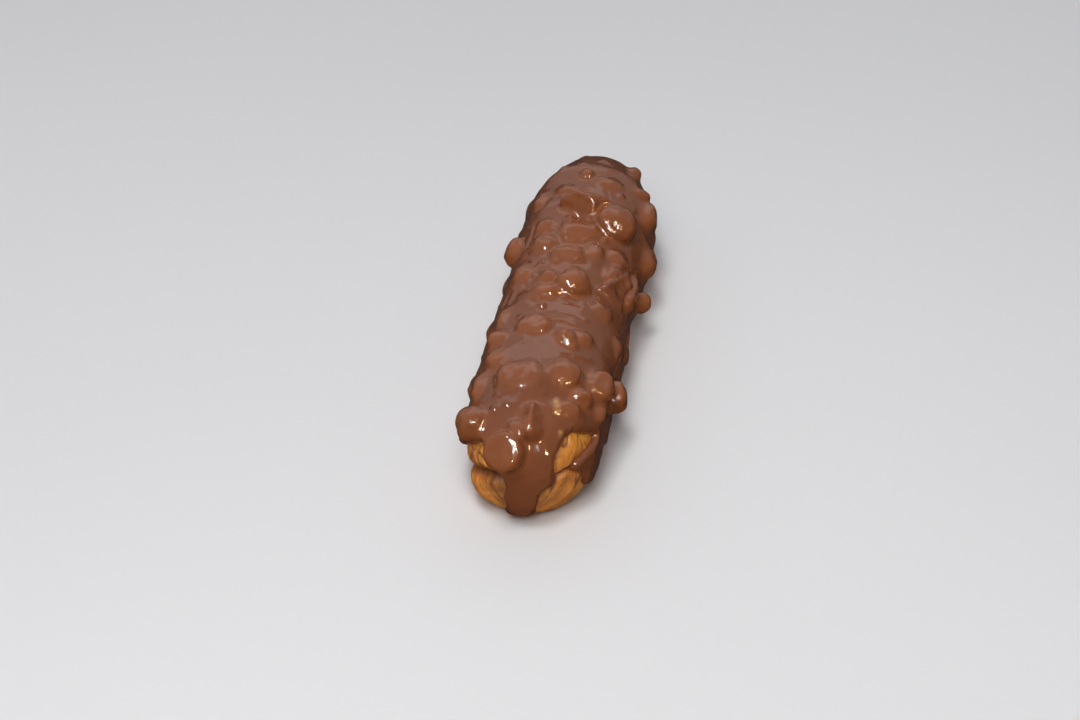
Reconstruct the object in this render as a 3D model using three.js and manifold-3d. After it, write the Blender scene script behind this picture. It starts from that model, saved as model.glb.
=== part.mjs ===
// A chocolate-and-hazelnut eclair: one baked choux bun, a milk-chocolate glaze
// that was poured and dipped over it, and the chopped hazelnuts that lie on the
// bun under the glaze. Millimetres. X runs along the eclair from its bare near
// end (-X) to its tapered far end (+X), Y is across it and Z is up. The origin
// is near the middle of the flat base that the bun rests on.
import * as THREE from "three";
import { mergeVertices } from "three/addons/utils/BufferGeometryUtils.js";
import Module from "manifold-3d";

// ---- driving dimensions ------------------------------------------------
const NEAR_X = -75.0; // near tip of the bun
const FAR_X = 69.4; // far tip of the bun
const NEAR_CAP = 18.0; // length of the blunt near cap
const FAR_CAP = 25.0; // length of the tapered far cap
const CORE_Z = 13.0; // height of the widest line above the base
const BELOW = 17.0; // half height under the widest line, cut off by the base
const SECTION_POWER = 2.2; // roundness of the cross-section
const CAP_POWER = 2.15; // roundness of the two caps
const RIDGES = 10; // piped ridges left by the star nozzle
const RIDGE_RISE = 0.45; // crest above the envelope
const RIDGE_DEPTH = 1.45; // crest to groove
const GLAZE_T = 2.0; // mean glaze thickness above the envelope
const NUT_BASE = 0.85; // underside of every nut above the envelope
const NUT_COAT = 0.95; // glaze over a lump's nominal size
const NUT_INSET = 0.2; // every nut is this much smaller than its lump
const GAP = 0.3; // gap kept between neighbouring pieces
const GLAZE_FLOOR = 0.6; // lowest point of the glaze above the base
const SKIN_FILLET = 2.0; // how softly a lump runs out into the glaze
const CRISP_FILLET = 1.0; // the same round the pieces that stand out most
const LUMP_FILLET = 1.2; // how softly two lumps run together
const FINEST = 0.08; // detail smaller than this is smoothed away

// half width, upper half height and sideways drift of the bun along its length
const STATION_X = [-75, -62, -50, -35, -20, -5, 10, 25, 40, 52, 62, 75];
const HALF_W = [15.8, 16.4, 17.0, 17.4, 17.3, 16.8, 16.6, 17.2, 17.0, 15.0, 13.1, 11.8];
const HALF_H = [15.0, 15.6, 16.2, 16.4, 16.2, 16.0, 16.2, 16.6, 16.4, 15.4, 13.6, 12.4];
const DRIFT_Y = [1.2, 0.9, 0.6, 0.4, 0.1, 0.0, -0.7, -1.3, -1.4, -1.2, -1.2, -1.4];

// Each nut piece: name, a point near the bun's skin, half length along X, half
// width across, height of its top above the envelope, height of its middle,
// turn about the skin's normal in degrees, power of its outline, power of its
// crown, and cut planes in its own frame (nx, ny, nz, distance).
const NUTS = [
  ["hazelnut_half_01", [-71.4, 4.4, 22.2], 4.45, 4.45, 5, 2.6, 0, 2, 5, []],
  ["hazelnut_half_02", [-62.6, 13.4, 22.4], 3.8, 3.7, 5.3, 2.5, 10, 2.1, 2.1, []],
  ["hazelnut_quarter_03", [-65.1, -0.9, 26.9], 4, 2.5, 4.9, 1.2, 4, 2.2, 2.4, [[0.12, 0.78, 0.62, 1.7], [0.1, -0.8, 0.6, 1.5]]],
  ["hazelnut_slice_04", [-67.8, 2.2, 25.4], 2.3, 0.9, 3.4, 1.2, 28, 2.4, 2.4, []],
  ["hazelnut_chip_05", [-58.7, -9, 26.1], 1.9, 2, 2.5, 0.9, 15, 2.1, 2.1, []],
  ["hazelnut_chip_06", [-52.6, -11, 25.6], 1.7, 1.7, 3.6, 1.5, 30, 2.2, 2.2, [[0.5, 0.45, 0.74, 1.3], [-0.75, 0.1, 0.65, 1.2]]],
  ["hazelnut_half_07", [-44, -14.2, 22.2], 3.9, 3.3, 4.7, 1.9, 0, 2.4, 2.8, [[-0.2, 0.5, 0.84, 2.4]]],
  ["hazelnut_half_08", [-37.6, -17.2, 15.6], 3.3, 3, 5, 2.4, 20, 2.8, 2.8, [[0.3, -0.5, 0.81, 2.4]]],
  ["hazelnut_chip_09", [-50.6, -15.1, 19.9], 2.4, 1.2, 3, 1, -12, 2.2, 2.2, []],
  ["hazelnut_quarter_10", [-48.8, 14.2, 23.4], 3.7, 1.7, 3.2, 1.2, -4, 2.2, 2.2, [[0.2, 0.4, 0.89, 1.9]]],
  ["hazelnut_half_11", [-31, 12.9, 25.4], 1.9, 2.3, 3.4, 1.4, 0, 2.1, 2.1, []],
  ["hazelnut_chip_12", [-40.2, 12, 26.1], 2.5, 1.9, 2.8, 1, 14, 2.3, 2.3, [[0.1, -0.55, 0.83, 1.6]]],
  ["hazelnut_chip_13", [-20.8, 13, 25.1], 3, 1.3, 2.4, 0.9, -10, 2.2, 2.2, []],
  ["hazelnut_half_14", [-50.2, 4.2, 28.9], 3.9, 4.9, 3.9, 1.1, 5, 2.5, 2.8, [[-0.3, 0.1, 0.95, 2.7]]],
  ["hazelnut_half_15", [-47.4, -6.4, 28.4], 3.9, 3.6, 3.8, 1.1, -20, 2.4, 2.6, []],
  ["hazelnut_half_16", [-32.8, -4.8, 28.8], 1.7, 1.8, 3.5, 1.7, 0, 2.2, 2.2, []],
  ["hazelnut_chip_17", [-30.8, -8.6, 27.4], 1.5, 1.6, 2.6, 1, 20, 2.5, 2.5, []],
  ["hazelnut_quarter_18", [-28.4, 3.8, 29.2], 2.4, 3.4, 3, 1, -6, 2.8, 3, [[-0.45, 0.1, 0.89, 1.9], [0.4, 0, 0.92, 1.9]]],
  ["hazelnut_whole_19", [-9.4, -3.3, 28.8], 4.2, 4.2, 5.5, 1.9, 0, 2, 2, []],
  ["hazelnut_half_20", [-13.4, 3, 29.1], 2.2, 2.6, 3.5, 1.2, 24, 2.2, 2.2, []],
  ["hazelnut_chip_21", [-6.2, 3.9, 28.8], 1.4, 1.5, 3, 1.4, 35, 2.6, 2.6, [[-0.6, 0.2, 0.77, 1.2], [0.5, 0.5, 0.7, 1.1]]],
  ["hazelnut_half_22", [2, -13.4, 24.2], 4.6, 3.3, 2.9, 1, -24, 2.6, 3, [[-0.1, -0.1, 0.98, 1.6]]],
  ["hazelnut_slice_23", [3.2, -16, 18.4], 6.4, 1.9, 3.5, 1.1, -10, 3, 3, [[0.05, -0.35, 0.94, 2]]],
  ["hazelnut_chip_24", [9.2, -17, 12.4], 2, 2, 5.2, 2.8, 0, 2.1, 2.1, []],
  ["hazelnut_half_25", [24.2, -18, 15.2], 5, 3, 3.8, 1.3, -6, 2.2, 2.2, []],
  ["hazelnut_whole_26", [22.2, -10.2, 27.4], 5, 4.9, 6, 2.6, 0, 2.1, 2.5, [[-0.62, 0, 0.78, 4.2]]],
  ["hazelnut_quarter_27", [26.8, -0.9, 29.6], 3.2, 4.3, 6.3, 2.2, -12, 2.8, 2.8, [[-0.88, 0.15, 0.45, 1.2], [0.62, 0.1, 0.78, 2.8], [-0.1, 0.72, 0.68, 3.6]]],
  ["hazelnut_half_28", [38, -16.4, 20.8], 4.1, 2.3, 4.1, 1.5, 8, 2.2, 2.2, []],
  ["hazelnut_chip_29", [43.6, -14.4, 23.2], 1.4, 1.4, 3.2, 1.5, 0, 2.2, 2.2, []],
  ["hazelnut_chip_30", [56, -10.4, 21.6], 1.2, 1.1, 3.1, 1.5, 0, 2.3, 2.3, []],
  ["hazelnut_chip_31", [43.6, 0, 29.1], 1.3, 1.3, 3.2, 1.5, 15, 2.2, 2.2, []],
  ["hazelnut_half_32", [40.4, -6.6, 28.4], 1.9, 2.8, 2, 0.9, 0, 2.2, 2.2, []],
  ["hazelnut_chip_33", [35.4, 4.4, 29], 1.3, 1.9, 2.4, 0.9, -20, 2.3, 2.3, []],
  ["hazelnut_chip_34", [19, 7.6, 27.9], 1.7, 1.6, 2.6, 1, 0, 2.3, 2.3, []],
  ["hazelnut_half_35", [34.6, 11.6, 25.4], 2.9, 1.9, 2.6, 0.9, 6, 2.2, 2.2, []],
  ["hazelnut_quarter_36", [15.6, -2, 29.2], 2.6, 4.5, 3, 0.9, 10, 2.6, 2.8, [[-0.5, 0, 0.87, 1.9]]],
  ["hazelnut_half_37", [17.6, 16.2, 20.2], 3.4, 3.3, 4.6, 2.1, -10, 2.1, 2.1, []],
  ["hazelnut_half_38", [10, 6.9, 28.1], 3, 2.8, 3.4, 1.1, 0, 2.2, 2.2, []],
  ["hazelnut_quarter_39", [4.4, -0.3, 29.1], 2.4, 3.4, 3.4, 1.1, 12, 2.5, 2.5, [[-0.6, 0.1, 0.79, 1.9]]],
  ["hazelnut_half_40", [7.4, -6.8, 28.2], 2.1, 1.8, 2.5, 1, 0, 2.1, 2.1, []],
  ["hazelnut_half_41", [-1.8, 11, 26.2], 3.1, 2.2, 2.6, 0.9, 12, 2.2, 2.2, []],
  ["hazelnut_chip_42", [9.6, -12.6, 24.8], 1.6, 1.7, 2.7, 1.2, 30, 2.8, 2.8, [[0.3, -0.5, 0.81, 1.3]]],
  ["hazelnut_chip_43", [-15.4, -11.4, 25.4], 1.3, 1.5, 2, 0.8, 0, 2.3, 2.3, []],
  ["hazelnut_chip_44", [-22, -15.6, 19], 1.6, 1.3, 1.7, 0.7, 24, 2.3, 2.3, []],
  ["hazelnut_half_45", [-11, 17.4, 12.2], 2.8, 2.3, 2.8, 1, 12, 2.2, 2.2, []],
  ["hazelnut_chip_46", [9, 16.8, 13.5], 2.1, 1.8, 2.5, 1, -15, 2.4, 2.4, [[0.5, 0.2, 0.84, 1.5]]],
  ["hazelnut_quarter_47", [-36, 17.2, 12.6], 3, 2.2, 2.8, 1, 8, 2.6, 2.6, [[-0.4, 0.3, 0.87, 1.7]]],
  ["hazelnut_half_48", [44, 14, 15], 2.7, 2.3, 2.5, 0.9, 0, 2.1, 2.1, []],
  ["hazelnut_chip_49", [59.5, 8.6, 12.5], 1.7, 1.6, 2, 0.8, 30, 2.4, 2.4, []],
  ["hazelnut_half_50", [67.5, 2, 13], 2.2, 2.4, 2.6, 0.9, 0, 2.1, 2.1, []],
  ["hazelnut_chip_51", [-12, -17, 10], 2, 1.7, 1.9, 0.7, -20, 2.4, 2.4, []],
  ["hazelnut_half_52", [47.5, -15, 12], 2.4, 2.2, 2.6, 0.9, 16, 2.2, 2.2, []],
];

// bare choux left by the pour on the near cap, as outlines on the cap unrolled
// from its tip: u to +Y, v up, both in millimetres along the skin
const BARE = [
  [[12.0, 10.9], [10.8, 8.9], [10.0, 6.9], [8.4, 5.4], [6.0, 4.9], [4.5, 4.0], [3.9, 1.6], [4.0, -2.0], [4.1, -5.0], [4.4, -9.0], [5.5, -11.4], [7.0, -13.6], [7.0, -18.0], [16.0, -19.0], [30.0, -17.0], [34.0, -8.5], [26.0, -1.0], [19.7, 5.0], [15.6, 8.8]],
  [[-9.9, 6.5], [-10.2, 3.6], [-9.4, 1.1], [-7.8, 0.1], [-6.2, -1.6], [-5.8, -3.4], [-5.0, -6.0], [-4.2, -8.5], [-4.8, -12.0], [-4.0, -18.0], [-14.0, -18.0], [-27.0, -17.0], [-25.0, -12.0], [-20.5, -9.4], [-18.6, -6.5], [-17.7, -1.9], [-16.6, 1.6], [-14.6, 3.9], [-14.9, 5.9], [-17.0, 6.6], [-19.5, 7.0], [-22.8, 7.4], [-24.4, 8.2], [-23.0, 10.0], [-18.5, 13.2], [-15.4, 14.3], [-12.9, 13.7], [-11.3, 12.1], [-10.4, 10.5], [-9.9, 8.7]],
  [[-6.0, -11.0], [-2.5, -10.4], [0.5, -11.4], [3.5, -10.9], [8.0, -12.0], [8.0, -20.0], [-8.0, -20.0], [-8.0, -12.0]],
];

// ---- shape functions ---------------------------------------------------
const { abs, atan2, cos, hypot, max, min, pow, sin, sqrt, PI } = Math;

// cubic Hermite interpolation through the stations
function along(x, table) {
  const n = STATION_X.length;
  const xc = min(max(x, STATION_X[0]), STATION_X[n - 1]);
  let i = 0;
  while (i < n - 2 && xc >= STATION_X[i + 1]) i++;
  const slope = (k) => {
    if (k === 0) return (table[1] - table[0]) / (STATION_X[1] - STATION_X[0]);
    if (k === n - 1) return (table[n - 1] - table[n - 2]) / (STATION_X[n - 1] - STATION_X[n - 2]);
    const h1 = STATION_X[k] - STATION_X[k - 1], h2 = STATION_X[k + 1] - STATION_X[k];
    return (h1 * h1 * table[k + 1] + (h2 * h2 - h1 * h1) * table[k] - h2 * h2 * table[k - 1]) / (h1 * h2 * (h1 + h2));
  };
  const h = STATION_X[i + 1] - STATION_X[i], t = (xc - STATION_X[i]) / h;
  return (2 * t ** 3 - 3 * t ** 2 + 1) * table[i] + (t ** 3 - 2 * t ** 2 + t) * h * slope(i) +
    (-2 * t ** 3 + 3 * t ** 2) * table[i + 1] + (t ** 3 - t ** 2) * h * slope(i + 1);
}
const halfHeight = (x, qz) => (qz > 0 ? along(x, HALF_H) : BELOW);

// slow hand-made unevenness, about -1 to 1
const uneven = (x, y, z) =>
  0.45 * sin(0.137 * x + 0.31 * y + 1.1) * cos(0.23 * z - 0.09 * x + 0.4) +
  0.35 * sin(0.291 * x - 0.18 * z + 2.7) + 0.3 * cos(0.33 * y + 0.11 * x + 0.27 * z + 0.9);

// the unit-free coordinates of a point: where it is on the bun's envelope
function unitOf(p) {
  const near = NEAR_X + NEAR_CAP, far = FAR_X - FAR_CAP;
  const qx = p.x < near ? (p.x - near) / NEAR_CAP : p.x > far ? (p.x - far) / FAR_CAP : 0;
  return new THREE.Vector3(
    qx,
    (p.y - along(p.x, DRIFT_Y)) / along(p.x, HALF_W),
    (p.z - CORE_Z) / halfHeight(p.x, p.z - CORE_Z),
  );
}
const unitNorm = (q) => pow(
  pow(abs(q.x), CAP_POWER) + pow(pow(abs(q.y), SECTION_POWER) + pow(abs(q.z), SECTION_POWER), CAP_POWER / SECTION_POWER),
  1 / CAP_POWER,
);
function placeOf(q, mid) {
  const x = q.x < 0 ? NEAR_X + NEAR_CAP + q.x * NEAR_CAP : q.x > 0 ? FAR_X - FAR_CAP + q.x * FAR_CAP : mid;
  return new THREE.Vector3(x, along(x, DRIFT_Y) + q.y * along(x, HALF_W), CORE_Z + q.z * halfHeight(x, q.z));
}
function normalAt(p, q) {
  const radial = pow(pow(abs(q.y), SECTION_POWER) + pow(abs(q.z), SECTION_POWER) + 1e-12, CAP_POWER / SECTION_POWER - 1);
  const s = (v, e) => Math.sign(v) * pow(abs(v), e);
  return new THREE.Vector3(
    s(q.x, CAP_POWER - 1) / (q.x < 0 ? NEAR_CAP : FAR_CAP),
    (radial * s(q.y, SECTION_POWER - 1)) / along(p.x, HALF_W),
    (radial * s(q.z, SECTION_POWER - 1)) / halfHeight(p.x, q.z),
  ).normalize();
}
// a point dropped straight onto the envelope, with the normal there
function onSkin(point) {
  const p = new THREE.Vector3(...point);
  const q = unitOf(p);
  q.divideScalar(unitNorm(q));
  const at = placeOf(q, p.x);
  return { at, normal: normalAt(at, q) };
}

// crests and grooves from the star nozzle, fading into the caps' tips
function ridge(p, q) {
  const turn = atan2(q.y, q.z) + 0.05 * sin(0.06 * p.x + 0.5);
  const tip = min(1, hypot(q.y, q.z) * 1.5);
  const crest = sqrt(cos((RIDGES / 2) * turn) ** 2 + 0.02);
  return RIDGE_RISE - RIDGE_DEPTH * (1 - crest) * tip - 0.5 * (1 - tip);
}
const bunHeight = (p, q) => ridge(p, q) + 0.22 * uneven(p.x, p.y, p.z) - 0.2;

// how far a point of the skin lies inside the glaze's outline, in mm
function outlineDistance(u, v, outline) {
  let best = 1e9, inside = false;
  outline.forEach(([x1, y1], i) => {
    const [x2, y2] = outline[(i + 1) % outline.length];
    const t = min(1, max(0, ((u - x1) * (x2 - x1) + (v - y1) * (y2 - y1)) / ((x2 - x1) ** 2 + (y2 - y1) ** 2)));
    best = min(best, hypot(u - x1 - t * (x2 - x1), v - y1 - t * (y2 - y1)));
    if (y1 > v !== y2 > v && u < ((x2 - x1) * (v - y1)) / (y2 - y1) + x1) inside = !inside;
  });
  return inside ? -best : best;
}
const hemHeight = (x, side) =>
  side > 0
    ? 7.6 + 1.7 * sin(0.151 * x + 0.7) + 1.0 * sin(0.37 * x + 2.0)
    : 8.0 + 1.6 * sin(0.128 * x + 3.3) + 1.1 * sin(0.33 * x + 1.0) + 2.4 * Math.exp(-(((x + 8) / 13) ** 2));
function coverage(p, q) {
  const near = NEAR_X + NEAR_CAP;
  const side = 0.5 + 0.5 * Math.tanh((p.y - along(p.x, DRIFT_Y)) / 4);
  const hem = hemHeight(p.x, 1) * side + hemHeight(p.x, -1) * (1 - side);
  const turn = atan2(q.y, q.z);
  const s = p.x < near ? 17 * atan2(hypot(q.y, q.z), -q.x) : (17 * PI) / 2 + p.x - near;
  let c = p.x < near - 2 ? 99 : p.z - hem + 8 * max(0, 1 - (p.x - near + 2) / 6);
  if (s < 60) for (const o of BARE) c = min(c, outlineDistance(s * sin(turn), s * cos(turn), o));
  return c;
}
// glaze height over the envelope: a rounded bead at the hem, sunk where bare
function glazeHeight(p, q) {
  const c = coverage(p, q);
  if (c <= 0) return -1.6 + max(-1, c * 0.2);
  const roll = min(1, c / 2.2);
  const t = GLAZE_T + 0.4 * uneven(p.x * 1.3 + 20, p.y, p.z * 1.2);
  return -0.4 + (t + 0.4) * sqrt(1 - (1 - roll) ** 2);
}

// ---- solids --------------------------------------------------------------
const wasm = await Module();
wasm.setup();

function solidOf(geometry) {
  const g = new THREE.BufferGeometry().setAttribute("position", (geometry.index ? geometry.toNonIndexed() : geometry).getAttribute("position"));
  const m = mergeVertices(g, 1e-4);
  return new wasm.Manifold(new wasm.Mesh({
    numProp: 3,
    vertProperties: new Float32Array(m.getAttribute("position").array),
    triVerts: new Uint32Array(m.index.array),
  }));
}
function geometryOf(solid) {
  const m = solid.getMesh();
  const v = new Float32Array(m.numVert * 3);
  for (let i = 0; i < m.numVert; i++) v.set(m.vertProperties.subarray(i * m.numProp, i * m.numProp + 3), i * 3);
  const g = new THREE.BufferGeometry().setAttribute("position", new THREE.BufferAttribute(v, 3));
  g.setIndex(new THREE.BufferAttribute(new Uint32Array(m.triVerts), 1));
  g.computeVertexNormals();
  return g;
}
const largest = (solid) => solid.decompose().reduce((a, b) => (b.volume() > a.volume() ? b : a));

// a capsule along X, each vertex carried onto the envelope and raised along the
// skin's normal
function skinned(around, capSteps, bodySteps, height) {
  const g = new THREE.CapsuleGeometry(1, 2, capSteps, around, bodySteps);
  const pos = g.getAttribute("position");
  for (let i = 0; i < pos.count; i++) {
    const a = pos.getY(i);
    const q = new THREE.Vector3(abs(a) > 1 + 1e-6 ? a - Math.sign(a) : 0, -pos.getX(i), pos.getZ(i));
    if (hypot(q.y, q.z) < 1e-5) q.y = q.z = 0;
    q.divideScalar(unitNorm(q));
    const mid = NEAR_X + NEAR_CAP + ((min(1, max(-1, a)) + 1) / 2) * (FAR_X - FAR_CAP - NEAR_X - NEAR_CAP);
    const p = placeOf(q, mid);
    const n = normalAt(p, q);
    p.addScaledVector(n, height(p, q, n));
    pos.setXYZ(i, p.x, p.y, p.z);
  }
  return solidOf(g);
}
function above(z) {
  return solidOf(new THREE.BoxGeometry(200, 80, 80).translate(0, 0, 40 + z));
}

// the frame of a nut: X along the eclair, Z out of the skin, at its middle
const frames = NUTS.map(([, point, , , , middle, turn]) => {
  const { at, normal } = onSkin(point);
  const u = new THREE.Vector3(1, 0, 0).addScaledVector(normal, -normal.x).normalize();
  const frame = new THREE.Matrix4()
    .makeBasis(u, new THREE.Vector3().crossVectors(normal, u), normal)
    .multiply(new THREE.Matrix4().makeRotationZ((turn * PI) / 180));
  frame.setPosition(at.clone().addScaledVector(normal, middle));
  return { frame, inverse: frame.clone().invert() };
});

// size of a nut, grown all round, in the direction w of its own frame; its
// underside is flat, at the distance under below its middle
function nutReach([, , a, b, top, middle, , power, crown, cuts], w, grow, under) {
  const h = top - middle;
  const flat = pow(pow(abs(w.x) / (a + grow), power) + pow(abs(w.y) / (b + grow), power), 1 / power);
  const e = crown;
  const rise = w.z > 0 ? h + grow : max(h + grow, 1.7 * (under + grow));
  let t = 1 / pow(pow(flat, e) + pow(abs(w.z) / rise, e), 1 / e);
  for (const [nx, ny, nz, d] of [...cuts, [0, 0, -1, under]]) {
    const toward = (w.x * nx + w.y * ny + w.z * nz) / hypot(nx, ny, nz);
    if (toward > 1e-6) t = min(t, (d + grow) / toward);
  }
  return t;
}
function nutSolid(i, grow, under, fine) {
  const g = fine ? new THREE.IcosahedronGeometry(1, 1) : new THREE.OctahedronGeometry(1, 1);
  const pos = g.getAttribute("position");
  for (let k = 0; k < pos.count; k++) {
    const w = new THREE.Vector3().fromBufferAttribute(pos, k).normalize();
    w.multiplyScalar(nutReach(NUTS[i], w, grow, under)).applyMatrix4(frames[i].frame);
    pos.setXYZ(k, w.x, w.y, w.z);
  }
  return solidOf(g);
}

// the glaze's outside runs over skin and nuts alike and fills the corners
// between them with a fillet
const fillet = (a, b, k) => min(a, b) - (max(k - abs(a - b), 0) ** 2 * 0.25) / k;
const w = new THREE.Vector3();
const CRISP = [1, 3, 6, 8, 19, 22, 24, 26, 27, 31, 37];
// small, sharp pieces whose corners need a thicker coat
const THICK_COAT = [3, 6, 51];
function glazeDepth(point, base, near) {
  let lumps = 1e3, crisp = 1e3;
  for (const i of near) {
    w.copy(point).applyMatrix4(frames[i].inverse);
    const r = w.length();
    w.divideScalar(max(r, 1e-9));
    const d = r - nutReach(NUTS[i], w, NUT_COAT + (THICK_COAT.includes(i + 1) ? 0.45 : 0), NUTS[i][5] + 3);
    if (CRISP.includes(i + 1)) crisp = min(crisp, d);
    else lumps = fillet(lumps, d, LUMP_FILLET);
  }
  return fillet(fillet(base, lumps, SKIN_FILLET), crisp, CRISP_FILLET);
}
function glazedHeight(p, q, n) {
  const base = glazeHeight(p, q);
  const near = [...NUTS.keys()].filter((i) => {
    w.setFromMatrixPosition(frames[i].frame);
    return w.distanceTo(p) < 13;
  });
  const at = new THREE.Vector3();
  let t = 11;
  while (t > base) {
    const d = glazeDepth(at.copy(p).addScaledVector(n, t), t - base, near);
    if (d < 0.01) break;
    t -= max(0.05, d * 0.6);
  }
  return max(t, base);
}

// ---- the pieces ----------------------------------------------------------
const AROUND = 40, CAP_STEPS = 6, BODY_STEPS = 14;
const bun = skinned(AROUND, CAP_STEPS, BODY_STEPS, bunHeight).intersect(above(0));
const bunRoom = skinned(AROUND, CAP_STEPS, BODY_STEPS, (p, q) => bunHeight(p, q) + GAP);

const nuts = NUTS.map((spec, i) => {
  const whole = spec[0].includes("whole"), middle = spec[5];
  return {
    name: spec[0],
    solid: nutSolid(i, -NUT_INSET, middle - NUT_BASE + NUT_INSET, whole),
    room: nutSolid(i, GAP - NUT_INSET, middle + 0.6, whole),
  };
});
nuts.forEach((nut, i) => {
  for (const other of nuts.slice(0, i)) {
    if (nut.solid.intersect(other.room).volume() > 0) nut.solid = largest(nut.solid.subtract(other.room));
  }
});

let glaze = skinned(AROUND + 16, CAP_STEPS + 3, 38, glazedHeight);
glaze = glaze.subtract(bunRoom).subtract(wasm.Manifold.union(nuts.map((n) => n.room)));
glaze = largest(largest(glaze.intersect(above(GLAZE_FLOOR))).simplify(FINEST));

// ---- the scene graph -------------------------------------------------------
const CHOUX = new THREE.MeshStandardMaterial({ name: "choux", color: 0xb9772f, roughness: 0.75, metalness: 0 });
const CHOCOLATE = new THREE.MeshStandardMaterial({ name: "milk_chocolate", color: 0x6b3d26, roughness: 0.22, metalness: 0 });
const HAZELNUT = new THREE.MeshStandardMaterial({ name: "hazelnut", color: 0xd9b27a, roughness: 0.6, metalness: 0 });

function piece(name, solid, material) {
  const mesh = new THREE.Mesh(geometryOf(solid), material);
  mesh.name = name;
  return mesh;
}
const eclair = new THREE.Group();
eclair.add(piece("choux_bun", bun, CHOUX));
eclair.add(piece("chocolate_glaze", glaze, CHOCOLATE));
const toppings = new THREE.Group();
for (const n of nuts) toppings.add(piece(n.name, n.solid, HAZELNUT));
eclair.add(toppings);

export default eclair;
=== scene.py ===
# A hazelnut rocher eclair: baked choux bun, glossy milk-chocolate glaze, and
# the chopped hazelnuts under it. The frame holds the solids; this script
# models the fine surfaces of the bun and of the glaze from the same outline
# and the same nuts, in millimetres, and gives every piece its finish.
import bpy, math
import numpy as np
from mathutils import Matrix, Vector


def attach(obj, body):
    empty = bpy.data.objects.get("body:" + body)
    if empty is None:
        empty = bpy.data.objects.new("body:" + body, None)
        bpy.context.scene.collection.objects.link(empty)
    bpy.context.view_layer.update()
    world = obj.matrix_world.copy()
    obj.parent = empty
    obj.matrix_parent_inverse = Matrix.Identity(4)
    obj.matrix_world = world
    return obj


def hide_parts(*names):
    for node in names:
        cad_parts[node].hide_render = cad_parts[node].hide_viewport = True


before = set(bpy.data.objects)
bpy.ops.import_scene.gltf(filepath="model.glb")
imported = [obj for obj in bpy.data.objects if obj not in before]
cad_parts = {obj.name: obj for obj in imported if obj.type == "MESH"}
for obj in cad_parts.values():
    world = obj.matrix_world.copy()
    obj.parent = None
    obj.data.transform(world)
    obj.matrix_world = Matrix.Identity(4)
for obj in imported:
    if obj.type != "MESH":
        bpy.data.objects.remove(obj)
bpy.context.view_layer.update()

MM = 0.001
# ---------------------------------------------------------------- the outline
NEAR_X, FAR_X, NEAR_CAP, FAR_CAP = -75.0, 69.4, 18.0, 25.0
CORE_Z, BELOW = 13.0, 17.0
SP, CP = 2.2, 2.15
NX, FX = NEAR_X + NEAR_CAP, FAR_X - FAR_CAP
STATION = np.array([-75, -62, -50, -35, -20, -5, 10, 25, 40, 52, 62, 75], float)
HALF_W = np.array([15.8, 16.4, 17.0, 17.4, 17.3, 16.8, 16.6, 17.2, 17.0, 15.0, 13.1, 11.8])
HALF_H = np.array([15.0, 15.6, 16.2, 16.4, 16.2, 16.0, 16.2, 16.6, 16.4, 15.4, 13.6, 12.4])
DRIFT_Y = np.array([1.2, 0.9, 0.6, 0.4, 0.1, 0.0, -0.7, -1.3, -1.4, -1.2, -1.2, -1.4])
GLAZE_T, NUT_COAT, GAP, NUT_INSET = 2.0, 0.95, 0.3, 0.2


def along(x, table):
    x = np.clip(x, STATION[0], STATION[-1])
    i = np.clip(np.searchsorted(STATION, x, side="right") - 1, 0, len(STATION) - 2)
    h = STATION[i + 1] - STATION[i]
    t = (x - STATION[i]) / h
    m = np.gradient(table, STATION)
    return ((2 * t**3 - 3 * t**2 + 1) * table[i] + (t**3 - 2 * t**2 + t) * h * m[i]
            + (-2 * t**3 + 3 * t**2) * table[i + 1] + (t**3 - t**2) * h * m[i + 1])


LUT_X = np.linspace(-90, 90, 1801)
LUT = {n: along(LUT_X, t) for n, t in (("w", HALF_W), ("h", HALF_H), ("y", DRIFT_Y))}


def look(x, n):
    return np.interp(x, LUT_X, LUT[n])


def unit(x, y, z):
    """Place of a point in the bun's own unit space, and its distance out."""
    yc, w, h = look(x, "y"), look(x, "w"), look(x, "h")
    qx = np.where(x < NX, (x - NX) / NEAR_CAP, np.where(x > FX, (x - FX) / FAR_CAP, 0.0))
    qy = (y - yc) / w
    qz = (z - CORE_Z) / np.where(z > CORE_Z, h, BELOW)
    n = (np.abs(qx)**CP + (np.abs(qy)**SP + np.abs(qz)**SP)**(CP / SP))**(1 / CP)
    r = np.sqrt((qx * np.where(qx < 0, NEAR_CAP, FAR_CAP))**2 + (y - yc)**2 + (z - CORE_Z)**2)
    return qx, qy, qz, r * (1 - 1 / np.maximum(n, 1e-6))


def place(qx, qy, qz, mid):
    x = np.where(qx < 0, NX + qx * NEAR_CAP, np.where(qx > 0, FX + qx * FAR_CAP, mid))
    y = look(x, "y") + qy * look(x, "w")
    z = CORE_Z + qz * np.where(qz > 0, look(x, "h"), BELOW)
    return x, y, z


def normal(x, qx, qy, qz):
    rad = (np.abs(qy)**SP + np.abs(qz)**SP + 1e-12)**(CP / SP - 1)
    n = np.stack([np.sign(qx) * np.abs(qx)**(CP - 1) / np.where(qx < 0, NEAR_CAP, FAR_CAP),
                  rad * np.sign(qy) * np.abs(qy)**(SP - 1) / look(x, "w"),
                  rad * np.sign(qz) * np.abs(qz)**(SP - 1) / np.where(qz > 0, look(x, "h"), BELOW)], -1)
    return n / np.linalg.norm(n, axis=-1, keepdims=True)


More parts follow.
